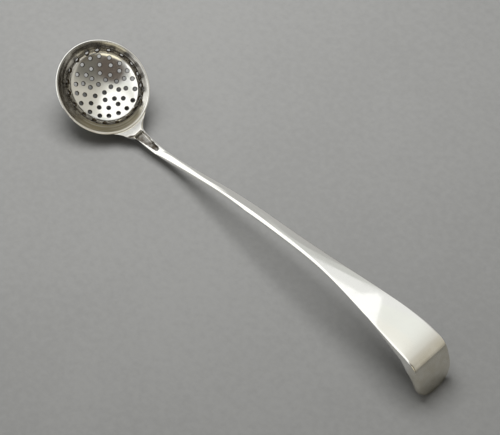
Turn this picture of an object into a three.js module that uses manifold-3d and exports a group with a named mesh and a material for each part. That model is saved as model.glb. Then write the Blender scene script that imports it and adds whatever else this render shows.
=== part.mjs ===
// Sifter ladle: a pierced silver bowl hard-soldered to a forged handle with a turned-down end.
// Millimetres, +Z up. It lies at rest on a table at z = 0, on its bowl and on the handle's tip,
// with +X from the bowl towards the tip and the origin under the middle of its box.

import * as THREE from 'three';
import { mergeVertices } from 'three/addons/utils/BufferGeometryUtils.js';
import Module from 'manifold-3d';

const wasm = await Module();
wasm.setup();

// Bowl: raised from sheet, a shallow curved floor, a round turn and a steep wall
const bowlHalfLength = 17.0; // centre to rim, towards the handle
const bowlHalfWidth = 15.7; // centre to rim, across
const bowlDepth = 11.6; // rim plane to the outside of the floor
const sheet = 0.8; // thickness of the bowl's sheet
const floorRadius = 36.0; // arc of the floor, outside
const turnRadius = 5.2; // arc of the turn from floor to wall, outside
const wallAngle = 72; // wall from the rim plane, degrees
const floorShift = 1.2; // how far across the floor sits from under the rim's centre

// How the bowl sits on the handle: it leans towards the handle and is turned a little
const bowlTilt = 29.3; // degrees
const bowlTwist = 14; // degrees
const wornDepth = 0.15; // worn off flat where the bowl touches the table

// Piercing: rings of drilled holes, measured along the floor from its centre
const holeRadius = 0.72;
const holeSides = 8;
const drillReach = 3.2; // length of the drill, half on each side of its start
const firstRingRadius = 2.1;
const ringPitch = 2.8; // from one ring to the next
const ringCounts = [4, 9, 14, 18, 19]; // holes in each ring
const ringStarts = [45, 0, 24, 10, 0]; // first hole of each ring, degrees
const highRowRadius = 16.0; // a short extra row, high on one side
const highRowStart = 34; // degrees
const highRowStep = 12; // degrees
const highRowCount = 4;
const handWander = 0.3; // how far a hole strays from its true place

// Handle: forged in one piece, on a line that rises from the rim, arches and is turned down.
// Heights are of its top face above the table, and distances run along the table.
const shoulderWidth = 11.0; // where the root meets the bowl
const shoulderLength = 3.8; // over which it narrows, outside the rim
const rootHeight = 5.4;
const rootWidth = 3.0;
const rootThickness = 3.0;
const stemAlong = 27.4; // from the rim to the slimmest place
const stemHeight = 7.1;
const stemWidth = 2.7;
const stemThickness = 2.6;
const archHeight = 19.2;
const bendAlong = 135.0; // from the rim to the bend at the end
const bendHeight = 15.1;
const endWidth = 15.0;
const endThickness = 1.6;
const lipReach = 5.7; // from the bend on to the tip
const edgeRoll = 3.5; // how far the sides of the end are turned down at the bend
const rollLean = 34; // they are turned down and this much back, degrees
const cornerLength = 7.2; // over which the end is rounded
const tipWidth = 2.6; // left flat at the very tip
const tipWear = 0.15; // worn off the tip
const topCrown = 0.12; // drop of the top face at its edges, as a share of the thickness
const rootTwistLength = 9.0; // over which the root turns level from the bowl's twist

// Shape of the root: reach in shoulder lengths, and how much of the shoulder's width is left
const rootShape = [
  { reach: -1.45, spread: 1, lift: 0.5 },
  { reach: -0.26, spread: 1, lift: 0.35 },
  { reach: 0.16, spread: 0.65, lift: 0.3 },
  { reach: 0.47, spread: 0.25, lift: 0.2 },
  { reach: 1, spread: 0.04, lift: 0.05 },
  { reach: 2.15, spread: 0, lift: -0.2 },
  { reach: 3.9, spread: 0, lift: -0.35 },
];

// Shape of the arch, as shares: of the way from the stem to the bend, of the rise to the
// arch's height, of the drop from it to the bend, of the flare and the thinning towards the
// end, and of the roll of its edges
const archShape = [
  { way: 0, rise: 0, drop: 0, flare: 0, thin: 0, roll: 0 },
  { way: 0.207, rise: 0.49, drop: 0, flare: 0.03, thin: 0.2, roll: 0 },
  { way: 0.402, rise: 0.81, drop: 0, flare: 0.1, thin: 0.5, roll: 0 },
  { way: 0.608, rise: 1, drop: 0, flare: 0.26, thin: 0.7, roll: 0 },
  { way: 0.815, rise: 1, drop: 0.07, flare: 0.68, thin: 0.9, roll: 0 },
  { way: 0.921, rise: 1, drop: 0.38, flare: 0.92, thin: 1, roll: 0.17 },
  { way: 0.977, rise: 1, drop: 0.67, flare: 0.98, thin: 1, roll: 0.5 },
  { way: 1, rise: 1, drop: 0.88, flare: 1, thin: 1, roll: 0.8 },
];

// Shape of the lip, as shares of its reach and of the bend's height
const lipShape = [
  { reach: 0.28, height: 0.954, roll: 0.95 },
  { reach: 0.474, height: 0.834, roll: 0.8 },
  { reach: 0.737, height: 0.5, roll: 0.3 },
];

// Hollow in the top of the root, between its two ridges
const hollowStart = 2.4; // from the rim
const hollowEnd = 12.2; // from the rim
const hollowWidth = 2.4; // at its start
const hollowTipWidth = 1.0;
const hollowDepth = 0.9;

// Joint: a thin layer of hard solder between the bowl's wall and the seat on the handle
const solderThickness = 0.35;
const clearance = 0.3; // between the solder and each of its neighbours

// How finely curves are divided
const lengthSteps = 110;
const endDensity = 0.55; // closer steps near the two ends of the handle
const acrossSteps = 6;
const sideDensity = 3; // closer steps near the sides of the handle
const rollSharpness = 60; // the sides turn down only close to the edge
const aroundSteps = 48;
const floorSteps = 8;
const turnSteps = 5;

function solidOf(geometry) {
  const bare = geometry.clone();
  bare.deleteAttribute('normal');
  bare.deleteAttribute('uv');
  const merged = mergeVertices(bare);
  const corners = merged.index.array;
  const kept = [];
  for (let i = 0; i < corners.length; i += 3) {
    const [a, b, c] = corners.slice(i, i + 3);
    if (a !== b && b !== c && c !== a) kept.push(a, b, c);
  }
  const vertProperties = Float32Array.from(merged.attributes.position.array);
  const triVerts = Uint32Array.from(kept);
  return new wasm.Manifold(new wasm.Mesh({ numProp: 3, vertProperties, triVerts }));
}

function meshOf(solid, name, material) {
  const result = solid.getMesh();
  const geometry = new THREE.BufferGeometry();
  geometry.setAttribute('position', new THREE.BufferAttribute(result.vertProperties, 3));
  geometry.setIndex(new THREE.BufferAttribute(result.triVerts, 1));
  geometry.computeVertexNormals();
  const mesh = new THREE.Mesh(geometry, material);
  mesh.name = name;
  return mesh;
}

// Half outline of the bowl as if it were round and upright: floor arc, turn arc, straight wall.
// inset moves the whole outline inwards, so that one outline serves both faces of the sheet.
const meanRadius = (bowlHalfLength + bowlHalfWidth) / 2;
const slope = THREE.MathUtils.degToRad(wallAngle);

function bowlOutline(inset) {
  const floor = floorRadius - inset;
  const turn = turnRadius - inset;
  const rim = new THREE.Vector2(meanRadius - inset / Math.sin(slope), 0);
  const down = new THREE.Vector2(-Math.cos(slope), -Math.sin(slope));
  const inward = new THREE.Vector2(-Math.sin(slope), Math.cos(slope));
  const floorCentre = new THREE.Vector2(0, floorRadius - bowlDepth);
  // The turn touches the wall and the floor, which fixes its centre
  const offset = rim.clone().addScaledVector(inward, turn).sub(floorCentre);
  const half = offset.dot(down);
  const reach = Math.sqrt(half * half - offset.lengthSq() + (floor - turn) ** 2) - half;
  const turnCentre = offset.addScaledVector(down, reach).add(floorCentre);
  const meet = turnCentre.clone().sub(floorCentre).angle();
  const arc = (c, radius, from, to) => new THREE.EllipseCurve(c.x, c.y, radius, radius, from, to);
  const path = new THREE.CurvePath();
  path.add(arc(floorCentre, floor, -Math.PI / 2, meet - 2 * Math.PI));
  path.add(arc(turnCentre, turn, meet - 2 * Math.PI, slope - Math.PI / 2));
  path.add(new THREE.LineCurve(turnCentre.clone().addScaledVector(inward, -turn), rim));
  return path;
}

function outlinePoints(path) {
  const [floorArc, turnArc, wall] = path.curves;
  const points = [...floorArc.getPoints(floorSteps), ...turnArc.getPoints(turnSteps).slice(1)];
  points.push(wall.v2.clone());
  points[0].x = 0;
  return points;
}

// Makes the round form oval, and slides its floor across
const ovalLength = bowlHalfLength / meanRadius;
const ovalWidth = bowlHalfWidth / meanRadius;
const slide = -floorShift / bowlDepth;
const bowlForm = new THREE.Matrix4().set(
  ovalLength, 0, 0, 0,
  0, ovalWidth, slide, 0,
  0, 0, 1, 0,
  0, 0, 0, 1,
);

function formedLathe(points) {
  const geometry = new THREE.LatheGeometry(points, aroundSteps);
  geometry.rotateX(Math.PI / 2);
  geometry.applyMatrix4(bowlForm);
  return geometry;
}

// Place of the bowl: turned, leant towards the handle, then set down on the table
const outerPoints = outlinePoints(bowlOutline(0));
const turned = new THREE.Matrix4().makeRotationX(THREE.MathUtils.degToRad(bowlTwist));
const leant = new THREE.Matrix4().makeRotationY(THREE.MathUtils.degToRad(bowlTilt));
const bowlPlace = leant.multiply(turned);
const trial = formedLathe(outerPoints).applyMatrix4(bowlPlace);
trial.computeBoundingBox();
bowlPlace.premultiply(
  new THREE.Matrix4().makeTranslation(0, 0, -trial.boundingBox.min.z - wornDepth),
);
const rimPoint = new THREE.Vector3(bowlHalfLength, 0, 0).applyMatrix4(bowlPlace);

const placedSolid = (geometry) => solidOf(geometry.applyMatrix4(bowlPlace));

// Everything below the table top, used to wear the two feet flat
function underTable() {
  const size = 3 * (bendAlong + lipReach);
  return solidOf(new THREE.BoxGeometry(size, size, size).translate(0, 0, -size / 2));
}

function holeCutter(path, distance, degrees) {
  const share = distance / path.getLength();
  const point = path.getPointAt(share);
  const tangent = path.getTangentAt(share);
  const angle = THREE.MathUtils.degToRad(degrees);
  const around = new THREE.Vector3(Math.cos(angle), Math.sin(angle), 0);
  const axis = around.clone().multiplyScalar(tangent.y).setZ(-tangent.x);
  const centre = around.clone().multiplyScalar(point.x).setZ(point.y).applyMatrix4(bowlForm);
  const cutter = new THREE.CylinderGeometry(holeRadius, holeRadius, drillReach, holeSides);
  const drillAxis = new THREE.Vector3(0, 1, 0);
  cutter.applyQuaternion(new THREE.Quaternion().setFromUnitVectors(drillAxis, axis));
  cutter.translate(centre.x, centre.y, centre.z);
  return placedSolid(cutter);
}

function pierce(bowl) {
  const path = bowlOutline(sheet);
  let pierced = bowl;
  ringCounts.forEach((count, ring) => {
    for (let i = 0; i < count; i += 1) {
      const outwards = handWander * Math.sin(7.3 * i + 2.1 * ring);
      const sideways = handWander * Math.cos(4.7 * i + 1.3 * ring);
      const distance = firstRingRadius + ringPitch * ring + outwards;
      const stray = THREE.MathUtils.radToDeg(sideways / distance);
      const degrees = ringStarts[ring] + (360 * i) / count + stray;
      pierced = pierced.subtract(holeCutter(path, distance, degrees));
    }
  });
  for (let i = 0; i < highRowCount; i += 1) {
    const degrees = highRowStart + highRowStep * i;
    pierced = pierced.subtract(holeCutter(path, highRowRadius, degrees));
  }
  return pierced;
}

function makeBowl() {
  const innerPoints = outlinePoints(bowlOutline(sheet)).reverse();
  const shell = placedSolid(formedLathe([...outerPoints, ...innerPoints]));
  return pierce(shell).subtract(underTable());
}

// The bowl as a filled body, grown outwards by a gap, to cut faces that follow its wall
function filledBowl(gap) {
  const points = outlinePoints(bowlOutline(-gap));
  const top = points.at(-1).clone().setY(bowlDepth / 2);
  return placedSolid(formedLathe([...points, top, new THREE.Vector2(0, top.y)]));
}

// Places along the handle, from inside the bowl to just under the table
const mix = THREE.MathUtils.lerp;
const handleStations = [
  ...rootShape.map(({ reach, spread, lift }) => ({
    along: reach * shoulderLength,
    height: rootHeight + lift,
    width: mix(rootWidth, shoulderWidth, spread),
    thickness: rootThickness,
    roll: 0,
  })),
  ...archShape.map(({ way, rise, drop, flare, thin, roll }) => ({
    along: mix(stemAlong, bendAlong, way),
    height: mix(stemHeight, archHeight, rise) - drop * (archHeight - bendHeight),
    width: mix(stemWidth, endWidth, flare),
    thickness: mix(stemThickness, endThickness, thin),
    roll: roll * edgeRoll,
  })),
  ...lipShape.map(({ reach, height, roll }) => ({
    along: bendAlong + reach * lipReach,
    height: height * bendHeight,
    width: endWidth,
    thickness: endThickness,
    roll: roll * edgeRoll,
  })),
  {
    along: bendAlong + lipReach,
    height: -tipWear,
    width: endWidth,
    thickness: endThickness,
    roll: 0,
  },
];

// The handle's blank: a long box drawn along the stations, rounded at its end, with its
// sides turned down at the bend and its root twisted to lie along the rim
function handleBlank() {
  const place = (s) => new THREE.Vector3(rimPoint.x + s.along, rimPoint.y, s.height);
  const section = (s) => new THREE.Vector3(s.width, s.thickness, s.roll);
  const line = new THREE.CatmullRomCurve3(handleStations.map(place));
  const sizes = new THREE.CatmullRomCurve3(handleStations.map(section), false, 'catmullrom');
  const rimLine = new THREE.Vector3(0, 1, 0).transformDirection(bowlPlace);
  const rootTwist = Math.atan2(rimLine.z, rimLine.y);
  const lean = THREE.MathUtils.degToRad(rollLean);
  const rollWay = new THREE.Vector3(-Math.sin(lean), 0, -Math.cos(lean));
  const length = line.getLength();
  const geometry = new THREE.BoxGeometry(1, 1, 1, lengthSteps, acrossSteps, 1);
  const position = geometry.attributes.position;
  const box = new THREE.Vector3();
  for (let i = 0; i < position.count; i += 1) {
    box.fromBufferAttribute(position, i);
    const step = box.x + 0.5;
    const u = step - (endDensity * Math.sin(2 * Math.PI * step)) / (2 * Math.PI);
    const t = line.getUtoTmapping(THREE.MathUtils.clamp(u, 0, 1));
    const tangent = line.getTangent(t);
    const size = sizes.getPoint(t);
    const fromEnd = Math.max(length * (1 - u), 0);
    const corner = Math.max(1 - fromEnd / cornerLength, 0);
    const width = mix(tipWidth, size.x, Math.sqrt(Math.max(1 - corner * corner, 0)));
    const across = Math.sign(box.y) * (1 - (1 - 2 * Math.abs(box.y)) ** sideDensity);
    const vertex = line.getPoint(t);
    const along = vertex.x - rimPoint.x;
    const twist = rootTwist * (1 - THREE.MathUtils.smoothstep(along, 0, rootTwistLength));
    const side = new THREE.Vector3(0, 1, 0).applyAxisAngle(tangent, twist);
    const up = new THREE.Vector3().crossVectors(tangent, side);
    const crown = box.z > 0 ? topCrown * size.y * across ** 2 : 0;
    const rolled = Math.max(size.z, 0) * Math.abs(across) ** rollSharpness;
    vertex.addScaledVector(side, (across * width) / 2);
    vertex.addScaledVector(up, (box.z - 0.5) * size.y - crown);
    vertex.addScaledVector(rollWay, rolled);
    position.setXYZ(i, vertex.x, vertex.y, vertex.z);
  }
  return solidOf(geometry);
}

function hollowCutter() {
  const tipRadius = hollowTipWidth / 2;
  const plan = new THREE.Shape();
  plan.moveTo(hollowStart, -hollowWidth / 2);
  plan.lineTo(hollowEnd - tipRadius, -tipRadius);
  plan.absarc(hollowEnd - tipRadius, 0, tipRadius, -Math.PI / 2, Math.PI / 2, false);
  plan.lineTo(hollowStart, hollowWidth / 2);
  plan.closePath();
  const settings = { depth: bowlDepth, bevelEnabled: false, curveSegments: 4 };
  const geometry = new THREE.ExtrudeGeometry(plan, settings);
  geometry.translate(rimPoint.x, rimPoint.y, rootHeight - hollowDepth);
  return solidOf(geometry);
}

function makeHandle() {
  const seat = filledBowl(clearance + solderThickness + clearance);
  return handleBlank().subtract(hollowCutter()).subtract(seat).subtract(underTable());
}

function makeSolder() {
  const layer = filledBowl(clearance + solderThickness).subtract(filledBowl(clearance));
  return handleBlank().intersect(layer);
}

const sheetSilver = new THREE.MeshStandardMaterial({
  color: 0xc9c8c2,
  roughness: 0.28,
  metalness: 1.0,
});
const forgedSilver = new THREE.MeshStandardMaterial({
  color: 0xd2d1cb,
  roughness: 0.22,
  metalness: 1.0,
});
const hardSolder = new THREE.MeshStandardMaterial({
  color: 0xb9b6a8,
  roughness: 0.45,
  metalness: 1.0,
});

const ladle = new THREE.Group();
ladle.name = 'sifter_ladle';
ladle.add(meshOf(makeBowl(), 'sifter_bowl', sheetSilver));
ladle.add(meshOf(makeHandle(), 'handle', forgedSilver));
ladle.add(meshOf(makeSolder(), 'solder_seam', hardSolder));

// Origin on the table, under the middle of the whole box
const whole = new THREE.Box3().setFromObject(ladle);
const middle = whole.getCenter(new THREE.Vector3());
ladle.children.forEach((mesh) => mesh.geometry.translate(-middle.x, -middle.y, -whole.min.z));

export default ladle;
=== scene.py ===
"""Looks of the sifter ladle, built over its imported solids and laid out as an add-on."""

import math

import bmesh
import bpy
import numpy as np
from bpy.props import FloatProperty, FloatVectorProperty, PointerProperty
from mathutils import Matrix, Vector


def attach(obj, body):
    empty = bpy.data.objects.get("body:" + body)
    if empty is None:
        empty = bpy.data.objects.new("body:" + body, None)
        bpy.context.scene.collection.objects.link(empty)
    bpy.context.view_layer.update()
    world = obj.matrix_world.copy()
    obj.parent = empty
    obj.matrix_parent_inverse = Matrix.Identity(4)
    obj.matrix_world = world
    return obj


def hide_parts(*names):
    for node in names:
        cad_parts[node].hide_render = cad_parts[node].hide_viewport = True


bl_info = {
    "name": "Sifter Ladle",
    "version": (1, 0, 0),
    "blender": (4, 5, 0),
    "location": "3D View > Sidebar > Ladle",
    "description": "Builds a silver sifter ladle with its table and its light",
    "category": "Object",
}

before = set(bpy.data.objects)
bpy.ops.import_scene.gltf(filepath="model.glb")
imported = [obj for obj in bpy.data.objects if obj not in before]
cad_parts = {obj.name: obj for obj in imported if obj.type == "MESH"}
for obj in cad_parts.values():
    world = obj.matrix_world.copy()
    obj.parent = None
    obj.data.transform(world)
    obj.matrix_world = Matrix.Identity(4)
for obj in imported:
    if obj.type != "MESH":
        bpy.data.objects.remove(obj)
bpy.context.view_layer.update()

MM = 0.001

# Where the middle of the bowl's rim stands over the table, and how high, in the shared frame
RIM_CENTRE = Vector((-69.674, -0.108, 14.183)) * MM


# Sizes and colours


class LadleBowlSizes(bpy.types.PropertyGroup):
    """Sizes of the pierced bowl."""

    half_length: FloatProperty(
        name="Half length",
        description="From the centre to the rim, towards the handle",
        default=17.0 * MM,
        unit="LENGTH",
    )
    half_width: FloatProperty(
        name="Half width",
        description="From the centre to the rim, across",
        default=15.7 * MM,
        unit="LENGTH",
    )
    depth: FloatProperty(
        name="Depth",
        description="From the rim to the outside of the floor",
        default=12.2 * MM,
        unit="LENGTH",
    )
    sheet: FloatProperty(
        name="Sheet",
        description="Thickness of the silver",
        default=0.8 * MM,
        unit="LENGTH",
    )
    floor_radius: FloatProperty(
        name="Floor radius",
        description="Arc of the floor",
        default=36.0 * MM,
        unit="LENGTH",
    )
    turn_radius: FloatProperty(
        name="Turn radius",
        description="Arc of the turn from floor to wall",
        default=4.4 * MM,
        unit="LENGTH",
    )
    wall_angle: FloatProperty(
        name="Wall angle",
        description="Angle of the wall from the rim",
        default=math.radians(72),
        subtype="ANGLE",
    )
    floor_shift: FloatProperty(
        name="Floor shift",
        description="How far across the floor sits from under the rim's centre",
        default=2.7 * MM,
        unit="LENGTH",
    )
    floor_retreat: FloatProperty(
        name="Floor retreat",
        description="How far the floor sits away from the handle",
        default=0.7 * MM,
        unit="LENGTH",
    )
    tilt: FloatProperty(
        name="Tilt",
        description="How far the bowl leans towards the handle",
        default=math.radians(29.3),
        subtype="ANGLE",
    )
    twist: FloatProperty(
        name="Twist",
        description="How far the bowl is turned on the handle",
        default=math.radians(14),
        subtype="ANGLE",
    )
    rim_round: FloatProperty(
        name="Rim rounding",
        description="Radius of the polished rim's edges",
        default=0.37 * MM,
        unit="LENGTH",
    )
    hole_radius: FloatProperty(
        name="Hole radius",
        description="Radius of a drilled hole",
        default=0.66 * MM,
        unit="LENGTH",
    )
    hole_edge: FloatProperty(
        name="Hole edge",
        description="Width of the bevelled edge round a hole",
        default=0.18 * MM,
        unit="LENGTH",
    )


class LadleHandleSizes(bpy.types.PropertyGroup):
    """Sizes of the forged handle."""

    arris_width: FloatProperty(
        name="Arris width",
        description="How far the rounded edges reach in over the top",
        default=1.1 * MM,
        unit="LENGTH",
    )
    arris_drop: FloatProperty(
        name="Arris drop",
        description="How far the rounded edges reach down the sides",
        default=0.5 * MM,
        unit="LENGTH",
    )
    end_arris: FloatProperty(
        name="End arris",
        description="Radius of the edges of the broad end",
        default=0.3 * MM,
        unit="LENGTH",
    )
    crown: FloatProperty(
        name="Crown",
        description="How much lower the top of the broad end is at its edges",
        default=0.16 * MM,
        unit="LENGTH",
    )
    hollow_depth: FloatProperty(
        name="Hollow depth",
        description="Depth of the hollow between the two shoulders",
        default=1.5 * MM,
        unit="LENGTH",
    )
    solder_width: FloatProperty(
        name="Solder width",
        description="Width of the line of solder along the joint",
        default=0.3 * MM,
        unit="LENGTH",
    )


class LadleFinishes(bpy.types.PropertyGroup):
    """Colours of the silver and of the table."""

    silver: FloatVectorProperty(
        name="Silver",
        description="Colour of the polished silver",
        default=(0.93, 0.92, 0.885),
        subtype="COLOR",
        size=3,
    )
    # Also laid on the bowl's far wall as painted shade for its dark reflection
    tarnish_and_painted_shade: FloatVectorProperty(
        name="Tarnish",
        description="Colour of old tarnish in the corners",
        default=(0.062, 0.049, 0.033),
        subtype="COLOR",
        size=3,
    )
    solder: FloatVectorProperty(
        name="Solder",
        description="Colour of the hard solder",
        default=(0.74, 0.71, 0.62),
        subtype="COLOR",
        size=3,
    )
    table: FloatVectorProperty(
        name="Table",
        description="Colour of the pale paper on the table",
        default=(0.0925, 0.0925, 0.0905),
        subtype="COLOR",
        size=3,
    )


# Curves and meshes


# Places nearer to each other than this, in metres, count as one
SAME_PLACE = 1e-7

# Faces that turn by more than this from one to the next meet in a sharp edge
BOWL_CREASE, HANDLE_CREASE, SOLDER_CREASE = (math.radians(angle) for angle in (32, 35, 80))


def mix(a, b, share):
    return a + (b - a) * share


def smooth(value, low, high):
    """0 below low, 1 above high, and an even S between them."""
    share = min(max((value - low) / (high - low), 0.0), 1.0)
    return share * share * (3 - 2 * share)


def during(value, start, full, fade, gone):
    """0 before start and after gone, 1 from full to fade, with even slopes between them."""
    return smooth(value, start, full) * (1 - smooth(value, fade, gone))


def spline_point(points, t, chordal):
    """Point at t from 0 to 1 on a curve through the points, as in the solids' source."""
    place = (len(points) - 1) * t
    index = min(int(place), len(points) - 2)
    share = place - index
    b, c = points[index], points[index + 1]
    a = points[index - 1] if index > 0 else b * 2 - c
    d = points[index + 2] if index + 2 < len(points) else c * 2 - b
    if chordal:
        first, middle, last = ((q - p).length ** 0.5 for p, q in ((a, b), (b, c), (c, d)))
        leave = (b - a) / first - (c - a) / (first + middle) + (c - b) / middle
        reach = (c - b) / middle - (d - b) / (middle + last) + (d - c) / last
        leave, reach = leave * middle, reach * middle
    else:
        leave, reach = (c - a) / 2, (d - b) / 2
    return (
        b
        + leave * share
        + (c * 3 - b * 3 - leave * 2 - reach) * share**2
        + (b * 2 - c * 2 + leave + reach) * share**3
    )


class BowlOutline:
    """Half outline of the bowl, as if round and upright: floor arc, turn arc, straight wall."""

    def __init__(self, s, inset):
        self.mean = (s.half_length + s.half_width) / 2
        self.floor = s.floor_radius - inset
        self.turn = s.turn_radius - inset
        self.slope = s.wall_angle
        self.rim = Vector((self.mean - inset / math.sin(self.slope), 0))
        down = Vector((-math.cos(self.slope), -math.sin(self.slope)))
        self.inward = Vector((-math.sin(self.slope), math.cos(self.slope)))
        self.floor_centre = Vector((0, s.floor_radius - s.depth))
        offset = self.rim + self.inward * self.turn - self.floor_centre
        half = offset.dot(down)
        root = half * half - offset.length_squared + (self.floor - self.turn) ** 2
        arm = offset + down * (math.sqrt(root) - half)
        self.turn_centre = self.floor_centre + arm
        self.meet = math.atan2(arm.y, arm.x)
        self.wall_foot = self.turn_centre - self.inward * self.turn
        self.floor_length = self.floor * (self.meet + math.pi / 2)
        self.turn_length = self.turn * (self.slope - math.pi / 2 - self.meet)
        self.wall_length = (self.rim - self.wall_foot).length

    def at(self, distance):
        """Point and direction at a distance along the outline from the floor's middle."""
        if distance <= self.floor_length:
            angle = distance / self.floor - math.pi / 2
            ray = Vector((math.cos(angle), math.sin(angle)))
            return self.floor_centre + ray * self.floor, Vector((-ray.y, ray.x))
        distance -= self.floor_length
        if distance <= self.turn_length:
            angle = self.meet + distance / self.turn
            ray = Vector((math.cos(angle), math.sin(angle)))
            return self.turn_centre + ray * self.turn, Vector((-ray.y, ray.x))
        distance -= self.turn_length
        along = Vector((math.cos(self.slope), math.sin(self.slope)))
        return self.wall_foot + along * distance, along

    def points(self, floor_steps, turn_steps, wall_steps):
        parts = (
            (0, self.floor_length, floor_steps),
            (self.floor_length, self.turn_length, turn_steps),
            (self.floor_length + self.turn_length, self.wall_length, wall_steps),
        )
        made = [self.at(0)[0]]
        for start, length, steps in parts:
            made += [self.at(start + length * (i + 1) / steps)[0] for i in range(steps)]
        made[0].x = 0
        return made


def bowl_form(s):
    """Makes the round form oval and slides its floor across and away from the handle."""
    mean = (s.half_length + s.half_width) / 2
    form = Matrix.Identity(4)
    form[0][0] = s.half_length / mean
    form[1][1] = s.half_width / mean
    form[0][2] = s.floor_retreat / s.depth
    form[1][2] = -s.floor_shift / s.depth
    return form


def bowl_place(s):
    """Turns the bowl, leans it towards the handle and sets it on the table."""
    lean = Matrix.Rotation(s.tilt, 4, "Y") @ Matrix.Rotation(s.twist, 4, "X")
    return Matrix.Translation(RIM_CENTRE) @ lean


def spin_round(bm, points, steps):
    """Turns an outline, given as (radius, height), once round the upright axis."""
    made = [bm.verts.new((p.x, 0, p.y)) for p in points]
    edges = [bm.edges.new(pair) for pair in zip(made, made[1:])]
    bmesh.ops.spin(
        bm,
        geom=made + edges,
        cent=(0, 0, 0),
        axis=(0, 0, 1),
        angle=math.tau,
        steps=steps,
        use_merge=True,
    )
    bmesh.ops.remove_doubles(bm, verts=bm.verts, dist=SAME_PLACE)
    bmesh.ops.recalc_face_normals(bm, faces=bm.faces)


def round_edges(bm, edges, radius, segments):
    bmesh.ops.bevel(
        bm,
        geom=edges,
        offset=radius,
        offset_type="OFFSET",
        affect="EDGES",
        segments=segments,
        profile=0.5,
        material=-1,
    )


def piece_from(bm, name):
    mesh = bpy.data.meshes.new(name)
    bm.to_mesh(mesh)
    bm.free()
    piece = bpy.data.objects.new(name, mesh)
    bpy.context.scene.collection.objects.link(piece)
    return piece


def cut(piece, tool, operation="DIFFERENCE"):
    """Cuts a piece with another one, which is used up."""
    modifier = piece.modifiers.new("cut", "BOOLEAN")
    modifier.operation = operation
    modifier.solver = "EXACT"
    modifier.material_mode = "TRANSFER"
    modifier.object = tool
    fix_modifiers(piece)
    bpy.data.objects.remove(tool)


def fix_modifiers(piece):
    """Turns what the modifiers show into the piece's own mesh."""
    bpy.context.view_layer.update()
    shown = piece.evaluated_get(bpy.context.evaluated_depsgraph_get())
    mesh = bpy.data.meshes.new_from_object(shown)
    piece.modifiers.clear()
    old = piece.data
    piece.data = mesh
    mesh.name = piece.name
    bpy.data.meshes.remove(old)


def flatten_foot(piece):
    """Wears a piece flat where it would stand lower than the table's top."""
    for vertex in piece.data.vertices:
        vertex.co.z = max(vertex.co.z, 0.0)


def shade(piece, angle):
    """Smooth shading with sharp edges where the faces turn by more than the angle."""
    piece.data.shade_smooth()
    piece.data.set_sharp_from_angle(angle=angle)


def paint(piece, name, values):
    """Gives each vertex a value that the finish reads."""
    layer = piece.data.attributes.new(name, "FLOAT", "POINT")
    layer.data.foreach_set("value", [float(v) for v in values])


def finish_piece(piece, node):
    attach(piece, "root")
    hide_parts(node)


# Bowl


# Piercing, as in the solids' source
FIRST_RING_RADIUS = 2.1 * MM
RING_PITCH = 2.8 * MM
RING_COUNTS = (4, 9, 14, 18, 19)
RING_STARTS = (45, 0, 24, 10, 0)
HIGH_ROW_RADIUS = 16.0 * MM
HIGH_ROW = (34, 46, 58, 70)
HAND_WANDER = 0.3 * MM

# How the stray of a hole changes with its number and with its ring, outwards and sideways
OUTWARDS_STRAY, SIDEWAYS_STRAY = (7.3, 2.1), (4.7, 1.3)

# Fineness of the meshes: steps up the floor, the turn and the wall, and sides round about
SHELL_STEPS, FILL_STEPS = (26, 12, 14), (20, 10, 8)
BOWL_SIDES, HOLE_SIDES, RIM_SEGMENTS = 120, 20, 4
DRILL_OVERRUN = 0.9 * MM

# Directions in the bowl, to the wall nearest the handle and to the wall that is left clean,
# with the cosines of the angles from them between which the stain, with its painted shade,
# and the film, with its painted warm reflection, change
NEAR_WALL, NEAR_STAINED, NEAR_DULL_AND_PAINTED_REFLECTION = (0.88, -0.47), (-0.5, 0.75), (0.45, 0.85)
CLEAN_WALL, CLEAN_REACH = (-0.53, 0.85), (0.55, 0.85)

# Tarnish on the floor, on the near wall and in the line along the wall's foot, as shares of
# the full stain, which on the far wall is painted shade for its dark reflection. It starts a
# share of the way up the turn.
FLOOR_STAIN, NEAR_STAIN, LINE_STAIN = 0.05, 0.03, 0.75
STAIN_START = 0.15

# Heights over which the clean wall ends, the line fades and the dull film with its painted warm
# reflection comes, and the depths under the rim between which its wear comes
CLEAN_RISE, LINE_HEIGHT, DULL_AND_PAINTED_REFLECTION_RISE = 1.0 * MM, 1.2 * MM, 0.8 * MM
RIM_WEAR = (-0.7 * MM, -0.1 * MM)

# A place nearer the middle than this share of the wall foot's radius counts as floor
FLOOR_REACH = 0.93


def hole_places():
    """Distance from the floor's middle and angle of each hole, rings first."""
    places = []
    for ring, count in enumerate(RING_COUNTS):
        for i in range(count):
            outwards = HAND_WANDER * math.sin(OUTWARDS_STRAY[0] * i + OUTWARDS_STRAY[1] * ring)
            sideways = HAND_WANDER * math.cos(SIDEWAYS_STRAY[0] * i + SIDEWAYS_STRAY[1] * ring)
            distance = FIRST_RING_RADIUS + RING_PITCH * ring + outwards
            angle = math.radians(RING_STARTS[ring] + 360 * i / count) + sideways / distance
            places.append((distance, angle))
    places += [(HIGH_ROW_RADIUS, math.radians(degrees)) for degrees in HIGH_ROW]
    return places


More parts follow.
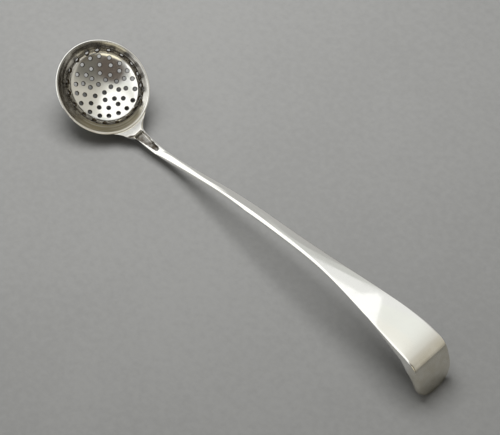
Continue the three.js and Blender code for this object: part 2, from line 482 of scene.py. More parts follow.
def hole_cutters(s):
    """All the drills joined in one piece, each flared a little at both faces of the sheet."""
    inner = BowlOutline(s, s.sheet)
    form = bowl_form(s)
    bm = bmesh.new()
    radius, edge, sheet = s.hole_radius, s.hole_edge, s.sheet
    flared = radius + edge + DRILL_OVERRUN
    profile = (
        Vector((0, -DRILL_OVERRUN)),
        Vector((flared, -DRILL_OVERRUN)),
        Vector((radius, edge)),
        Vector((radius, sheet - edge)),
        Vector((flared, sheet + DRILL_OVERRUN)),
        Vector((0, sheet + DRILL_OVERRUN)),
    )
    for distance, angle in hole_places():
        point, way = inner.at(distance)
        around = Vector((math.cos(angle), math.sin(angle), 0))
        axis = around * way.y + Vector((0, 0, -way.x))
        centre = form @ (around * point.x + Vector((0, 0, point.y)))
        drill = bmesh.new()
        spin_round(drill, profile, HOLE_SIDES)
        turn = Vector((0, 0, 1)).rotation_difference(axis).to_matrix().to_4x4()
        bmesh.ops.transform(drill, matrix=Matrix.Translation(centre) @ turn, verts=drill.verts)
        made = bpy.data.meshes.new("drill")
        drill.to_mesh(made)
        drill.free()
        bm.from_mesh(made)
        bpy.data.meshes.remove(made)
    bmesh.ops.transform(bm, matrix=bowl_place(s), verts=bm.verts)
    return piece_from(bm, "drills")


def bowl_shell(s):
    """The raised bowl before it is pierced, with its rim rounded."""
    outer = BowlOutline(s, 0).points(*SHELL_STEPS)
    inner = BowlOutline(s, s.sheet).points(*SHELL_STEPS)
    bm = bmesh.new()
    spin_round(bm, outer + inner[::-1], BOWL_SIDES)

    def runs_round_rim(edge):
        first, second = (v.co.xy.length for v in edge.verts)
        level = all(abs(v.co.z) < SAME_PLACE for v in edge.verts)
        return level and abs(first - second) < SAME_PLACE

    rims = [e for e in bm.edges if runs_round_rim(e)]
    round_edges(bm, rims, s.rim_round, RIM_SEGMENTS)
    bmesh.ops.transform(bm, matrix=bowl_place(s) @ bowl_form(s), verts=bm.verts)
    return bm


def bowl_fill(s, gap):
    """The bowl as a filled body grown outwards by a gap, to cut faces that follow its wall."""
    points = BowlOutline(s, -gap).points(*FILL_STEPS)
    top = s.depth / 2
    points += [Vector((points[-1].x, top)), Vector((0, top))]
    bm = bmesh.new()
    spin_round(bm, points, BOWL_SIDES)
    bmesh.ops.transform(bm, matrix=bowl_place(s) @ bowl_form(s), verts=bm.verts)
    return piece_from(bm, "bowl_fill")


def paint_bowl_stain_shade_and_reflection(bowl, s):
    """Paints a dark stain on the inside of the wall, painted shade for the far wall's dark
    reflection, and tarnish in a line along its foot, except on the clean wall; a dull film on
    the wall nearest the handle, whose warm colour is a painted reflection; and wear along the
    rim."""
    back = (bowl_place(s) @ bowl_form(s)).inverted()
    middle = BowlOutline(s, s.sheet / 2)
    inner = BowlOutline(s, s.sheet)
    foot = inner.wall_foot.y
    turn = inner.at(inner.floor_length)[0].y
    stain_and_painted_shade, wear, dull_and_painted_reflection = [], [], []
    for vertex in bowl.data.vertices:
        place = back @ vertex.co
        radius = place.xy.length
        if radius < middle.wall_foot.x * FLOOR_REACH:
            drop = math.sqrt(max(middle.floor**2 - radius**2, 0))
            inside = place.z > middle.floor_centre.y - drop
        else:
            lean = (place.z - middle.wall_foot.y) / math.tan(s.wall_angle)
            inside = radius < middle.wall_foot.x + lean
        x, y = place.x / max(radius, 1e-6), place.y / max(radius, 1e-6)
        near = NEAR_WALL[0] * x + NEAR_WALL[1] * y
        clean = smooth(CLEAN_WALL[0] * x + CLEAN_WALL[1] * y, *CLEAN_REACH)
        start = mix(mix(turn, foot, STAIN_START), foot, clean)
        wall = smooth(place.z, start, mix(foot, foot + CLEAN_RISE, clean))
        line = wall * (1 - smooth(place.z, foot, foot + LINE_HEIGHT)) * (1 - clean)
        # The full stain on the far wall is painted shade for its dark reflection; the line is
        # tarnish
        share = max(mix(1.0, NEAR_STAIN, smooth(near, *NEAR_STAINED)), LINE_STAIN * line)
        stain_and_painted_shade.append(inside * mix(FLOOR_STAIN, share, wall))
        wear.append(smooth(place.z, *RIM_WEAR))
        # Dull film on the near wall; its warm colour is a painted reflection
        risen = smooth(place.z, foot, foot + DULL_AND_PAINTED_REFLECTION_RISE)
        dull_and_painted_reflection.append(wall * smooth(near, *NEAR_DULL_AND_PAINTED_REFLECTION) * risen)
    paint(bowl, "stain_and_painted_shade", stain_and_painted_shade)
    paint(bowl, "wear", wear)
    paint(bowl, "dull_and_painted_reflection", dull_and_painted_reflection)


class LADLE_OT_bowl(bpy.types.Operator):
    """Raises, pierces and polishes the bowl"""

    bl_idname = "ladle.bowl"
    bl_label = "Bowl"

    def execute(self, context):
        s = context.scene.ladle_bowl
        bowl = piece_from(bowl_shell(s), "pierced_bowl")
        bowl.data.materials.append(bowl_silver(context.scene.ladle_finish, bowl_place(s)))
        drills = hole_cutters(s)
        drills.data.materials.append(drilled_tarnish_and_painted_shade(context.scene.ladle_finish))
        cut(bowl, drills)
        flatten_foot(bowl)
        paint_bowl_stain_shade_and_reflection(bowl, s)
        shade(bowl, BOWL_CREASE)
        finish_piece(bowl, "sifter_bowl")
        return {"FINISHED"}


# Handle


# Sizes as in the solids' source, in millimetres
SHOULDER_LENGTH = 3.8
SHOULDER_WIDTH = 11.0
ROOT_WIDTH, ROOT_THICKNESS, ROOT_HEIGHT = 3.0, 3.0, 5.4
STEM_ALONG, STEM_HEIGHT, STEM_WIDTH, STEM_THICKNESS = 27.4, 7.1, 2.7, 2.6
ARCH_HEIGHT, BEND_ALONG, BEND_HEIGHT = 19.2, 135.0, 15.1
END_WIDTH, END_THICKNESS, LIP_REACH, EDGE_ROLL = 15.0, 1.6, 5.7, 3.5
ROLL_LEAN = math.radians(34)
CORNER_LENGTH, TIP_WIDTH, TIP_WEAR = 7.2, 2.6, 0.15

# What follows is finer than the solids. A span gives distances along the handle from the rim,
# in millimetres: where a change starts and is full, and in spans of four also where it begins
# to fade and is gone. Left and right are as seen from the tip with the bowl ahead.
ROOT_TWIST_FADE = (5.0, 75.0)  # over which the bowl's twist leaves the handle
STEM_TWIST, STEM_TWIST_SPAN = math.radians(26), (8, 20, 32, 86)  # added to it
ROOT_SWAY, ROOT_SWAY_SPAN = 0.33, (5, 14, 16, 30)  # to the left
FULLNESS, FULLNESS_SPAN = 0.45, (-0.5, 2.5, 5, 16)  # share by which the left side is wider
TRIM, TRIM_FADE = 0.22, (-1.5, 1.5)  # share by which it is narrower inside the rim
LEVELLING, LEVELLING_SPAN = 0.6, (6, 14, 24, 66)  # share by which the right facet drops less
STEM_CROWN, CROWN_RISE = 0.03, (30, 100)  # how much lower the stem's top is at its edges

# Arrises: the root's in millimetres, and the shares of the section's width and thickness that
# one can take up at most. Facets bulge from flat at 0 to round at 1.
ROOT_ARRIS, ROOT_ARRIS_FADE, END_ARRIS_RISE = 0.7, (1.0, 9.0), (60, 120)
WIDTH_SHARE, THICKNESS_SHARE = 0.42, 0.36
FACET_BULGE, LEVELLED_BULGE = 0.3, 0.75

# Shoulders: how much of their thickness is feathered out and where, along and across, and how
# far along they rise with the rim
FEATHERED, FEATHER_FADE, FEATHER_ACROSS = 0.88, (1.0, 5.0), (2.0, 5.4)
RIM_RISE_FADE = (0.6, 4.5)

# Hollow: its ends and widths, its shift to one side, the width of its sloping sides, and the
# shares of its length over which its floor sinks and comes up again
HOLLOW_START, HOLLOW_END, HOLLOW_WIDTH, HOLLOW_TIP_WIDTH = 3.2, 12.8, 4.0, 1.5
HOLLOW_SHIFT, HOLLOW_SIDE, HOLLOW_SPAN = 0.6, 0.55, (-0.06, 0.05, 0.9, 1.02)

# Box that is forged into the handle: the share of its side that a rounded edge takes, its
# faces, how much closer they stand at the ends and edges, and how sharply the sides roll down
BOX_CORNER, BOX_SEGMENTS = 0.1, 7
BOX_FLAT = 0.5 - BOX_CORNER
CUTS_ALONG, CUTS_ACROSS, CUTS_UP = 330, 34, 7
END_DENSITY, EDGE_DENSITY, ROLL_SHARPNESS = 0.55, 2.2, 60

# Places at which the line is measured, and the share of it that its direction is read over
LINE_PLACES, LINE_NUDGE = 1501, 1e-4

# Solder, in millimetres: how far the handle's seat stands off the bowl, how far the solder
# swells over the handle and bites into the bowl, and the grain of its mesh, which is smoothed
SEAT_GAP, SOLDER_SWELL, SOLDER_BITE, SOLDER_GRAIN = 0.05, 0.08, 0.12, 0.11
SMOOTHING_SHARE, SMOOTHING_PASSES = 0.5, 6

# Tarnish and dull film on the handle, as shares, and where they come or fade: by the hollow's
# depth, as a share, above the underside's height, or along the handle. The dull film's warm
# colour on the lip is a painted reflection.
HOLLOW_STAIN, HOLLOW_STAIN_DEPTH, UNDERSIDE = 0.9, (0.15, 0.8), 3 * MM
SHOULDER_STAIN, SHOULDER_STAIN_FADE = 0.45, (0.8, 3.6)
LIP_STAIN, LIP_STAIN_RISE = 0.10, (136.5, 139.5)
LIP_DULLNESS_AND_PAINTED_REFLECTION, LIP_DULL_AND_PAINTED_REFLECTION_RISE = 0.3, (134.0, 137.5)

# Reach in shoulder lengths, share of the shoulder's width left, and lift of the top
ROOT_SHAPE = (
    (-1.45, 2.2, 0.5),
    (-0.5, 1.62, 0.42),
    (-0.14, 1.2, 0.36),
    (0.1, 0.78, 0.3),
    (0.38, 0.42, 0.2),
    (0.75, 0.13, 0.1),
    (1.3, 0.02, -0.05),
    (2.15, 0, -0.2),
    (3.9, 0, -0.35),
)

# Way from the stem to the bend, rise to the arch, drop to the bend, flare, thinning and roll,
# all as shares
ARCH_SHAPE = (
    (0, 0, 0, 0, 0, 0),
    (0.207, 0.49, 0, 0.03, 0.2, 0),
    (0.402, 0.81, 0, 0.1, 0.5, 0),
    (0.608, 1, 0, 0.26, 0.7, 0),
    (0.815, 1, 0.07, 0.68, 0.9, 0),
    (0.921, 1, 0.38, 0.92, 1, 0.17),
    (0.977, 1, 0.67, 0.98, 1, 0.5),
    (1, 1, 0.88, 1, 1, 0.8),
)

# Share of the lip's reach, share of the bend's height and roll
LIP_SHAPE = ((0.28, 0.954, 0.95), (0.474, 0.834, 0.8), (0.737, 0.5, 0.3))


def handle_stations():
    """(along, 0, height) and (width, thickness, roll) of each station, in millimetres."""
    line, sizes = [], []

    def add(along, height, width, thickness, roll):
        line.append(Vector((along, 0, height)))
        sizes.append(Vector((width, thickness, roll)))

    for reach, spread, lift in ROOT_SHAPE:
        width = mix(ROOT_WIDTH, SHOULDER_WIDTH, spread)
        add(reach * SHOULDER_LENGTH, ROOT_HEIGHT + lift, width, ROOT_THICKNESS, 0)
    for way, rise, drop, flare, thin, roll in ARCH_SHAPE:
        height = mix(STEM_HEIGHT, ARCH_HEIGHT, rise) - drop * (ARCH_HEIGHT - BEND_HEIGHT)
        width = mix(STEM_WIDTH, END_WIDTH, flare)
        thickness = mix(STEM_THICKNESS, END_THICKNESS, thin)
        add(mix(STEM_ALONG, BEND_ALONG, way), height, width, thickness, roll * EDGE_ROLL)
    for reach, height, roll in LIP_SHAPE:
        along = BEND_ALONG + reach * LIP_REACH
        add(along, height * BEND_HEIGHT, END_WIDTH, END_THICKNESS, roll * EDGE_ROLL)
    add(BEND_ALONG + LIP_REACH, -TIP_WEAR, END_WIDTH, END_THICKNESS, 0)
    return line, sizes


class HandleLine:
    """The handle's line with its sizes, read by the distance from its start."""

    def __init__(self):
        self.line, self.sizes = handle_stations()
        self.steps = np.linspace(0, 1, LINE_PLACES)
        points = np.array([spline_point(self.line, t, True) for t in self.steps])
        runs = np.linalg.norm(np.diff(points, axis=0), axis=1)
        self.runs = np.concatenate([[0], np.cumsum(runs)])
        self.length = float(self.runs[-1])

    def at(self, distance):
        """Point, direction and sizes (width, thickness, roll) at a distance."""
        t = float(np.interp(distance, self.runs, self.steps))
        low, high = max(t - LINE_NUDGE, 0), min(t + LINE_NUDGE, 1)
        way = spline_point(self.line, high, True) - spline_point(self.line, low, True)
        point, size = spline_point(self.line, t, True), spline_point(self.sizes, t, False)
        return point, way.normalized(), size


def hollow_depth(along, across, depth):
    """How deep the V-shaped hollow behind the bowl is at a place on the root's top."""
    share = (along - HOLLOW_START) / (HOLLOW_END - HOLLOW_START)
    half = mix(HOLLOW_WIDTH, HOLLOW_TIP_WIDTH, min(max(share, 0), 1)) / 2
    walls = smooth(half - abs(across + HOLLOW_SHIFT * (1 - share)), 0, HOLLOW_SIDE)
    return depth * walls * during(share, *HOLLOW_SPAN)


def shoulder_thinning(along, across):
    """Share of the half thickness that is left under the shoulders, which are feathered out."""
    near = 1 - smooth(along, *FEATHER_FADE)
    return 1 - FEATHERED * near * smooth(abs(across), *FEATHER_ACROSS)


def shoulder_rise(bowl, along, across):
    """How much the rim beside the joint stands over the joint's own middle."""
    reach = min(abs(across) * MM / bowl.half_width, 1)
    rise = bowl.half_length / MM * (1 - math.sqrt(1 - reach * reach)) * math.sin(bowl.tilt)
    return rise * (1 - smooth(along, *RIM_RISE_FADE))


def long_box():
    """A box of unit size with its long edges rounded and its sides cut into fine faces."""
    bm = bmesh.new()
    bmesh.ops.create_cube(bm, size=1.0)

    def edges_along(axis):
        return [e for e in bm.edges if abs(e.verts[0].co[axis] - e.verts[1].co[axis]) > 0.5]

    round_edges(bm, edges_along(0), BOX_CORNER, BOX_SEGMENTS)
    for axis, cuts in ((1, CUTS_ACROSS), (2, CUTS_UP), (0, CUTS_ALONG)):
        bmesh.ops.subdivide_edges(bm, edges=edges_along(axis), cuts=cuts, use_grid_fill=True)
    return bm


def from_centre(value, half, radius, bulge=1.0):
    """Spreads a side of the box so that its corners keep their size, round or as facets."""
    if abs(value) <= BOX_FLAT:
        return value / BOX_FLAT * (half - radius)
    turn = min((abs(value) - BOX_FLAT) / BOX_CORNER, 1)
    turn = mix(math.asin(turn) / (math.pi / 2), turn, bulge)
    return math.copysign(half - radius + turn * radius, value)


def on_section(spot, along, width, thickness, grown, s):
    """Spreads a place of the box over the handle's section, as the distances across and up
    from its middle. The top has facets, and near the root the right one is levelled."""
    half_width, half_thickness = width / 2 + grown, thickness / 2 + grown
    rooted = 1 - smooth(along, *ROOT_ARRIS_FADE)
    broad = smooth(along, *END_ARRIS_RISE)
    wide = mix(mix(s.arris_width, ROOT_ARRIS * MM, rooted), s.end_arris, broad) / MM
    wide = min(wide, WIDTH_SHARE * width)
    drop = mix(s.arris_drop, s.end_arris, broad) / MM
    lower = min(THICKNESS_SHARE * thickness, WIDTH_SHARE * width)
    level = during(along, *LEVELLING_SPAN)
    right = level if spot.y > 0 else 0
    y = spot.y
    if abs(y) < BOX_FLAT:
        packed = 1 - (1 - abs(y) / BOX_FLAT) ** EDGE_DENSITY
        y = math.copysign(BOX_FLAT * packed, y)
    if spot.z <= 0:
        return from_centre(y, half_width, lower), from_centre(spot.z, half_thickness, lower)
    across = from_centre(y, half_width, wide, mix(FACET_BULGE, LEVELLED_BULGE, right))
    drop *= 1 - LEVELLING * right
    bulge = mix(FACET_BULGE, LEVELLED_BULGE, level)
    return across, from_centre(spot.z, half_thickness, drop, bulge)


def handle_blank(bowl, s, grown=0.0):
    """The forged handle before its seat is cut: a long box drawn out along the line, its end
    rounded, its sides turned down, its root twisted, swayed, hollowed and feathered out."""
    line = HandleLine()
    rim_line = (bowl_place(bowl).to_3x3() @ Vector((0, 1, 0))).normalized()
    root_twist = math.atan2(rim_line.z, rim_line.y)
    rim_point = bowl_place(bowl) @ Vector((bowl.half_length, 0, 0)) / MM
    roll_way = Vector((-math.sin(ROLL_LEAN), 0, -math.cos(ROLL_LEAN)))
    bm = long_box()
    for vertex in bm.verts:
        spot = vertex.co.copy()
        step = spot.x + 0.5
        share = step - END_DENSITY * math.sin(math.tau * step) / math.tau
        distance = line.length * min(max(share, 0), 1)
        point, way, size = line.at(distance)
        along, thickness = point.x, size.y
        end = max(1 - (line.length - distance) / CORNER_LENGTH, 0)
        width = mix(TIP_WIDTH, size.x, math.sqrt(max(1 - end * end, 0)))
        across, height = on_section(spot, along, width, thickness, grown, s)
        reach = min(abs(across) / (width / 2), 1)
        if across < 0:
            across *= 1 + FULLNESS * during(along, *FULLNESS_SPAN)
            across *= 1 - TRIM * (1 - smooth(along, *TRIM_FADE))
        below = (height - thickness / 2) * shoulder_thinning(along, across)
        crown = mix(STEM_CROWN, s.crown / MM, smooth(along, *CROWN_RISE))
        down = crown * reach**2 * smooth(spot.z, 0, 0.5) - shoulder_rise(bowl, along, across)
        if spot.z > BOX_FLAT:
            down += hollow_depth(along, across, s.hollow_depth / MM)
        across -= ROOT_SWAY * during(along, *ROOT_SWAY_SPAN)
        rolled = max(size.z, 0) * reach**ROLL_SHARPNESS
        twist = root_twist * (1 - smooth(along, *ROOT_TWIST_FADE))
        twist += STEM_TWIST * during(along, *STEM_TWIST_SPAN)
        side = Matrix.Rotation(twist, 3, way) @ Vector((0, 1, 0))
        up = way.cross(side)
        place = point + side * across + up * (below - down) + roll_way * rolled
        vertex.co = (place + Vector((rim_point.x, rim_point.y, 0))) * MM
    bmesh.ops.recalc_face_normals(bm, faces=bm.faces)
    return piece_from(bm, "handle_blank")


def paint_handle_stain_and_reflection(handle, bowl):
    """Tarnish in the hollow, along the joint and on the lip, and a dull film on the lip whose
    warm colour is a painted reflection.
    """
    rim_point = bowl_place(bowl) @ Vector((bowl.half_length, 0, 0))
    stain_and_painted_shade, dull_and_painted_reflection = [], []
    for vertex in handle.data.vertices:
        place = (vertex.co - rim_point) / MM
        depth = hollow_depth(place.x, place.y, 1.0)
        above = vertex.co.z > UNDERSIDE
        hollow = HOLLOW_STAIN * smooth(depth, *HOLLOW_STAIN_DEPTH) * above
        shoulder = SHOULDER_STAIN * (1 - smooth(place.x, *SHOULDER_STAIN_FADE))
        stain_and_painted_shade.append(max(hollow, shoulder, LIP_STAIN * smooth(place.x, *LIP_STAIN_RISE)))
        # Dull film on the lip; its warm colour is a painted reflection
        dull_and_painted_reflection.append(LIP_DULLNESS_AND_PAINTED_REFLECTION * smooth(place.x, *LIP_DULL_AND_PAINTED_REFLECTION_RISE))
    paint(handle, "stain_and_painted_shade", stain_and_painted_shade)
    paint(handle, "dull_and_painted_reflection", dull_and_painted_reflection)


class LADLE_OT_handle(bpy.types.Operator):
    """Forges the handle and cuts its seat to the bowl"""

    bl_idname = "ladle.handle"
    bl_label = "Handle"

    def execute(self, context):
        bowl, s = context.scene.ladle_bowl, context.scene.ladle_handle
        handle = handle_blank(bowl, s)
        handle.name = "forged_handle"
        cut(handle, bowl_fill(bowl, SEAT_GAP * MM))
        flatten_foot(handle)
        paint_handle_stain_and_reflection(handle, bowl)
        shade(handle, HANDLE_CREASE)
        handle.data.materials.clear()
        handle.data.materials.append(handle_silver(context.scene.ladle_finish))
        finish_piece(handle, "handle")
        return {"FINISHED"}


class LADLE_OT_solder(bpy.types.Operator):
    """Runs the line of hard solder round the joint"""

    bl_idname = "ladle.solder"
    bl_label = "Solder"

    def execute(self, context):
        bowl, s = context.scene.ladle_bowl, context.scene.ladle_handle
        seam = handle_blank(bowl, s, grown=SOLDER_SWELL)
        seam.name = "solder_line"
        cut(seam, bowl_fill(bowl, s.solder_width), "INTERSECT")
        cut(seam, bowl_fill(bowl, -SOLDER_BITE * MM))
        remesh = seam.modifiers.new("flow", "REMESH")
        remesh.mode = "VOXEL"
        remesh.voxel_size = SOLDER_GRAIN * MM
        rounded = seam.modifiers.new("rounded", "SMOOTH")
        rounded.factor = SMOOTHING_SHARE
        rounded.iterations = SMOOTHING_PASSES
        fix_modifiers(seam)
        shade(seam, SOLDER_CREASE)
        seam.data.materials.clear()
        seam.data.materials.append(hard_solder(context.scene.ladle_finish))
        finish_piece(seam, "solder_seam")
        return {"FINISHED"}


# Finishes


# Where the Mix node has its factor and its two colours, and where it gives their blend
MIX_INPUTS, MIX_OUTPUT = (0, 6, 7), 2


class Nodes:
    """Short way of laying out and joining the nodes of one tree."""

    def __init__(self, tree):
        self.tree = tree
        tree.nodes.clear()

    def feed(self, socket, value):
        """Joins another node's output to an input, or gives the input a plain value."""
        if isinstance(value, bpy.types.NodeSocket):
            self.tree.links.new(value, socket)
        else:
            socket.default_value = value

    def add(self, kind, inputs=None, **settings):
        node = self.tree.nodes.new(kind)
        for name, value in settings.items():
            setattr(node, name, value)
        for name, value in (inputs or {}).items():
            self.feed(node.inputs[name], value)
        return node

    def noise(self, place, scale, detail, roughness, stretch=(1, 1, 1)):
        spread = self.add("ShaderNodeMapping", {"Vector": place, "Scale": stretch})
        inputs = {
            "Vector": spread.outputs["Vector"],
            "Scale": scale,
            "Detail": detail,
            "Roughness": roughness,
        }
        return self.add("ShaderNodeTexNoise", inputs).outputs["Fac"]

    def span(self, value, low, high, to_low, to_high, shape="SMOOTHSTEP"):
        inputs = {
            "Value": value,
            "From Min": low,
            "From Max": high,
            "To Min": to_low,
            "To Max": to_high,
        }
        node = self.add("ShaderNodeMapRange", inputs, interpolation_type=shape)
        return node.outputs["Result"]

    def math(self, operation, *values, clamp=False):
        node = self.add("ShaderNodeMath", operation=operation, use_clamp=clamp)
        for socket, value in zip(node.inputs, values):
            self.feed(socket, value)
        return node.outputs["Value"]

    def toward(self, place, direction):
        """How closely a direction of the sky points the given way, as a cosine."""
        dot = self.add("ShaderNodeVectorMath", operation="DOT_PRODUCT")
        for socket, value in zip(dot.inputs, (place, direction)):
            self.feed(socket, value)
        return dot.outputs["Value"]

    def blend(self, share, first, second):
        node = self.add("ShaderNodeMix", data_type="RGBA")
        for index, value in zip(MIX_INPUTS, (share, first, second)):
            self.feed(node.inputs[index], value)
        return node.outputs[MIX_OUTPUT]


def rgba(colour, gain=1.0):
    return (colour[0] * gain, colour[1] * gain, colour[2] * gain, 1.0)


# Colours of the silver's worn edges and of the warm film where it is dull, which is a painted
# reflection
WORN_SILVER = (0.97, 0.965, 0.95)
WARM_PAINTED_REFLECTION = (0.54, 0.48, 0.33)


def silver_finish(name, colour, tarnish_and_painted_shade, roughness, planish, scratch, turned=None):
    """Polished silver: soft hammer waves, fine scratches, clouded sheen, tarnish that also
    carries painted shade, a dull film whose warm colour is a painted reflection, and worn
    edges. The waves and scratches are so many millimetres deep. A piece turned out of the
    frame's own axes gives that turn, and its tarnish and painted shade lie in level streaks."""
    material = bpy.data.materials.new(name)
    material.use_nodes = True
    n = Nodes(material.node_tree)
    place = n.add("ShaderNodeTexCoord").outputs["Object"]
    clouds = n.noise(place, scale=90, detail=4.0, roughness=0.6)
    specks = n.noise(place, scale=900, detail=3.0, roughness=0.6)
    waves = n.noise(place, scale=160, detail=2.0, roughness=0.4)
    hairs = n.noise(place, scale=700, detail=4.0, roughness=0.7, stretch=(0.08, 1, 1))
    worn, stain_and_painted_shade, dull_and_painted_reflection = (
        n.add("ShaderNodeAttribute", attribute_name=layer).outputs["Fac"]
        for layer in ("wear", "stain_and_painted_shade", "dull_and_painted_reflection")
    )
    if turned:
        way = turned.to_3x3().inverted().to_euler("XYZ")
        level = n.add("ShaderNodeMapping", {"Vector": place, "Rotation": way}).outputs["Vector"]
        streaks = n.noise(level, scale=60, detail=4.0, roughness=0.6, stretch=(1, 1, 11))
        patches = n.span(streaks, 0.36, 0.62, to_low=0.15, to_high=0.8, shape="LINEAR")
    else:
        patches = n.noise(place, scale=260, detail=5.0, roughness=0.65)
    patchy = n.span(patches, 0.2, 0.65, to_low=0.5, to_high=1.1)
    # Share of tarnish, and on the bowl's far wall of painted shade
    stain_and_shade_share = n.math("MULTIPLY", stain_and_painted_shade, patchy, clamp=True)
    patchy = n.span(patches, 0.15, 0.65, to_low=0.4, to_high=1.0)
    # Where the warm colour goes: a painted reflection on the dull wall and lip
    painted_reflection_share = n.math("MULTIPLY", n.math("POWER", dull_and_painted_reflection, 0.5), patchy, clamp=True)
    veil = n.span(clouds, 0.42, 0.72, to_low=0, to_high=0.16)
    base = n.blend(veil, rgba(colour), rgba(colour, gain=0.82))
    # Tarnish, and on the bowl's far wall painted shade
    base = n.blend(stain_and_shade_share, base, rgba(tarnish_and_painted_shade))
    base = n.blend(painted_reflection_share, base, rgba(WARM_PAINTED_REFLECTION))
    base = n.blend(n.math("MULTIPLY", worn, 0.5), base, rgba(WORN_SILVER))
    rough = n.span(specks, 0.35, 0.7, to_low=roughness * 0.8, to_high=roughness * 1.35)
    for layer, share in ((veil, 0.5), (stain_and_shade_share, 0.12), (dull_and_painted_reflection, 0.42)):
        rough = n.math("ADD", rough, n.math("MULTIPLY", layer, share))
    rough = n.math("SUBTRACT", rough, n.math("MULTIPLY", worn, 0.03), clamp=True)
    inputs = {"Strength": 1.0, "Distance": planish * MM, "Height": waves}
    normal = n.add("ShaderNodeBump", inputs).outputs["Normal"]
    inputs = {"Strength": 1.0, "Distance": scratch * MM, "Height": hairs, "Normal": normal}
    normal = n.add("ShaderNodeBump", inputs).outputs["Normal"]
    inputs = {"Base Color": base, "Metallic": 1.0, "Roughness": rough, "Normal": normal}
    shader = n.add("ShaderNodeBsdfPrincipled", inputs)
    n.add("ShaderNodeOutputMaterial", {"Surface": shader.outputs["BSDF"]})
    return material


def bowl_silver(f, turned):
    depths = {"planish": 0.03, "scratch": 0.003}
    return silver_finish("raised_silver", f.silver, f.tarnish_and_painted_shade, 0.10, turned=turned, **depths)


# The drilled faces take the tarnish colour all over, as tarnish and as painted shade in the
# holes
def drilled_tarnish_and_painted_shade(f):
    depths = {"planish": 0.01, "scratch": 0.003}
    return silver_finish("drilled_tarnish_and_painted_shade", f.tarnish_and_painted_shade, f.tarnish_and_painted_shade, 0.3, **depths)


def handle_silver(f):
    depths = {"planish": 0.006, "scratch": 0.0015}
    return silver_finish("forged_silver", f.silver, f.tarnish_and_painted_shade, 0.05, **depths)


def hard_solder(f):
    depths = {"planish": 0.02, "scratch": 0.004}
    return silver_finish("hard_solder", f.solder, f.tarnish_and_painted_shade, 0.24, **depths)


# Table, light and camera


# The camera's place and lens were fitted to the photo
CAMERA_TARGET = Vector((-2.224, 4.572, 0)) * MM
CAMERA_DISTANCE = 600.6 * MM
CAMERA_TURN = math.radians(45.84)
CAMERA_HEIGHT = math.radians(53.5)
CAMERA_LENS, CAMERA_SENSOR = 129.6, 36.0

# Half the table's side, and the lamp's place, side and power, in metres and watts
TABLE_REACH = 1.5
LAMP_PLACE, LAMP_SIZE, LAMP_POWER = (-0.14, 0.06, 0.37), 0.28, 5.5


def look_direction():
    flat = Vector((-math.sin(CAMERA_TURN), math.cos(CAMERA_TURN), 0))
    return flat * math.cos(CAMERA_HEIGHT) - Vector((0, 0, 1)) * math.sin(CAMERA_HEIGHT)


def sky_direction(turn, height):
    """Direction of a place in the sky: turn from +X towards +Y, and height, in degrees."""
    a, e = math.radians(turn), math.radians(height)
    return Vector((math.cos(a) * math.cos(e), math.sin(a) * math.cos(e), math.sin(e)))


# Round fields of the room that the silver mirrors, each laid over the ones before it: turn,
# height and half angle in degrees, softness of its edge, and its light
ROOM_FIELDS = (
    (30, 25, 48, 0.30, (0.56, 0.54, 0.48)),
    (352, 36, 24, 0.15, (0.16, 0.155, 0.135)),
    (28, -12, 22, 0.30, (0.30, 0.29, 0.265)),
    (350, 12, 20, 0.10, (0.12, 0.105, 0.08)),
    (0, 90, 19, 0.05, (1.25, 1.25, 1.22)),
    (245, 28, 38, 0.08, (1.22, 1.22, 1.19)),
    (190, 62, 14, 0.012, (1.15, 1.16, 1.15)),
    (322, 47, 17, 0.05, (0.12, 0.10, 0.085)),
    (314, 10, 20, 0.05, (1.15, 1.08, 0.84)),
)

# Panels of the ceiling: their light and their corners, each a turn and a height in degrees
ROOM_PANELS = (
    ((1.12, 1.13, 1.12), ((118.5, 58.1), (118, 76), (165, 80), (165, 58), (139, 59.5))),
    ((1.12, 1.13, 1.12), ((118.5, 54.3), (118.3, 63), (130, 62), (126, 58.8))),
)

# Bands of the room round about, over which the panels and the fields are laid: how high each
# one starts, in degrees, and its light
ROOM_BANDS = (
    (-90, (0.46, 0.46, 0.45)),
    (46.5, (0.60, 0.61, 0.59)),
    (52.5, (0.86, 0.87, 0.86)),
    (59.0, (0.87, 0.89, 0.85)),
    (65.0, (0.90, 0.90, 0.84)),
)

# Half the softness of the edges of the bands and of the panels, as a share of 1 in height or
# across the edge
BAND_EDGE, PANEL_EDGE = 0.006, 0.004


def room_light(scene):
    """The room round the table: its bands, then its panels, then its round fields."""
    world = bpy.data.worlds.new("room")
    scene.world = world
    world.use_nodes = True
    n = Nodes(world.node_tree)
    place = n.add("ShaderNodeTexCoord").outputs["Generated"]
    height = n.add("ShaderNodeSeparateXYZ", {"Vector": place}).outputs["Z"]
    light = rgba(ROOM_BANDS[0][1])
    for lift, colour in ROOM_BANDS[1:]:
        edge = math.sin(math.radians(lift))
        share = n.span(height, edge - BAND_EDGE, edge + BAND_EDGE, to_low=0, to_high=1)
        light = n.blend(share, light, rgba(colour))
    for colour, corners in ROOM_PANELS:
        share = 1.0
        for first, second in zip(corners, corners[1:] + corners[:1]):
            edge = sky_direction(*second).cross(sky_direction(*first)).normalized()
            side = n.toward(place, edge)
            within = n.span(side, -PANEL_EDGE, PANEL_EDGE, to_low=0, to_high=1)
            share = n.math("MULTIPLY", within, share)
        light = n.blend(share, light, rgba(colour))
    for turn, lift, half, soft, colour in ROOM_FIELDS:
        near = n.toward(place, sky_direction(turn, lift))
        edge = math.cos(math.radians(half))
        share = n.span(near, edge - soft / 2, edge + soft / 2, to_low=0, to_high=1)
        light = n.blend(share, light, rgba(colour))
    back = n.add("ShaderNodeBackground", {"Color": light, "Strength": 1.0})
    n.add("ShaderNodeOutputWorld", {"Surface": back.outputs["Background"]})


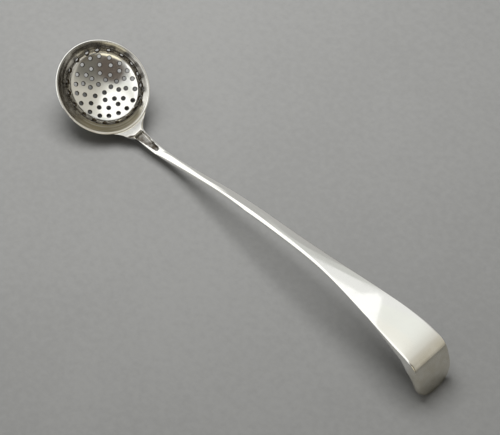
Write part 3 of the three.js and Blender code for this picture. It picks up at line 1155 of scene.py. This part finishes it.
def overhead_light():
    """A square soft light that looks straight down, and that the silver doesn't mirror."""
    light = bpy.data.lights.new("overhead", "AREA")
    light.shape = "SQUARE"
    light.size = LAMP_SIZE
    light.energy = LAMP_POWER
    lamp = bpy.data.objects.new("overhead", light)
    lamp.location = LAMP_PLACE
    lamp.visible_glossy = False
    bpy.context.scene.collection.objects.link(lamp)


def photo_camera():
    """The camera, at the photo's viewing angle."""
    lens = bpy.data.cameras.new("camera")
    lens.lens = CAMERA_LENS
    lens.sensor_width = CAMERA_SENSOR
    camera = bpy.data.objects.new("camera", lens)
    camera.location = CAMERA_TARGET - look_direction() * CAMERA_DISTANCE
    camera.rotation_euler = look_direction().to_track_quat("-Z", "Y").to_euler()
    bpy.context.scene.collection.objects.link(camera)
    return camera


def paper(colour):
    """Pale matt paper with a faint tooth and slow clouds."""
    material = bpy.data.materials.new("pale_paper")
    material.use_nodes = True
    n = Nodes(material.node_tree)
    place = n.add("ShaderNodeTexCoord").outputs["Object"]
    clouds = n.noise(place, scale=12, detail=4.0, roughness=0.6)
    tooth = n.noise(place, scale=420, detail=3.0, roughness=0.6)
    both = n.math("ADD", n.math("MULTIPLY", clouds, 0.5), n.math("MULTIPLY", tooth, 0.5))
    share = n.span(both, 0.35, 0.65, to_low=0, to_high=1)
    base = n.blend(share, rgba(colour, gain=0.95), rgba(colour, gain=1.05))
    bump = n.add("ShaderNodeBump", {"Strength": 0.4, "Distance": 0.15 * MM, "Height": tooth})
    inputs = {"Base Color": base, "Roughness": 0.9, "Normal": bump.outputs["Normal"]}
    shader = n.add("ShaderNodeBsdfPrincipled", inputs)
    n.add("ShaderNodeOutputMaterial", {"Surface": shader.outputs["BSDF"]})
    return material


class LADLE_OT_stage(bpy.types.Operator):
    """Sets up the table, the soft light and the camera"""

    bl_idname = "ladle.stage"
    bl_label = "Table and light"

    def execute(self, context):
        scene = context.scene
        scene.view_settings.view_transform = "Standard"
        bm = bmesh.new()
        bmesh.ops.create_grid(bm, x_segments=2, y_segments=2, size=TABLE_REACH)
        table = piece_from(bm, "table")
        table.data.materials.append(paper(scene.ladle_finish.table))
        room_light(scene)
        overhead_light()
        scene.camera = photo_camera()
        return {"FINISHED"}


class LADLE_PT_panel(bpy.types.Panel):
    """Buttons and sizes of the ladle"""

    bl_idname = "LADLE_PT_panel"
    bl_label = "Sifter ladle"
    bl_space_type = "VIEW_3D"
    bl_region_type = "UI"
    bl_category = "Ladle"

    def draw(self, context):
        layout = self.layout
        for operator in OPERATORS:
            layout.operator(operator.bl_idname)
        for key in GROUPS:
            group = getattr(context.scene, key)
            column = layout.column()
            for name in group.bl_rna.properties.keys():
                if name not in {"rna_type", "name"}:
                    column.prop(group, name)


GROUPS = {
    "ladle_bowl": LadleBowlSizes,
    "ladle_handle": LadleHandleSizes,
    "ladle_finish": LadleFinishes,
}
OPERATORS = (LADLE_OT_stage, LADLE_OT_bowl, LADLE_OT_handle, LADLE_OT_solder)


def register():
    for kind in (*GROUPS.values(), *OPERATORS, LADLE_PT_panel):
        bpy.utils.register_class(kind)
    for name, group in GROUPS.items():
        setattr(bpy.types.Scene, name, PointerProperty(type=group))


def unregister():
    for name in GROUPS:
        delattr(bpy.types.Scene, name)
    for kind in (LADLE_PT_panel, *OPERATORS, *GROUPS.values()):
        bpy.utils.unregister_class(kind)


def main():
    register()
    bpy.ops.ladle.stage()
    bpy.ops.ladle.bowl()
    bpy.ops.ladle.handle()
    bpy.ops.ladle.solder()


if __name__ == "__main__":
    main()
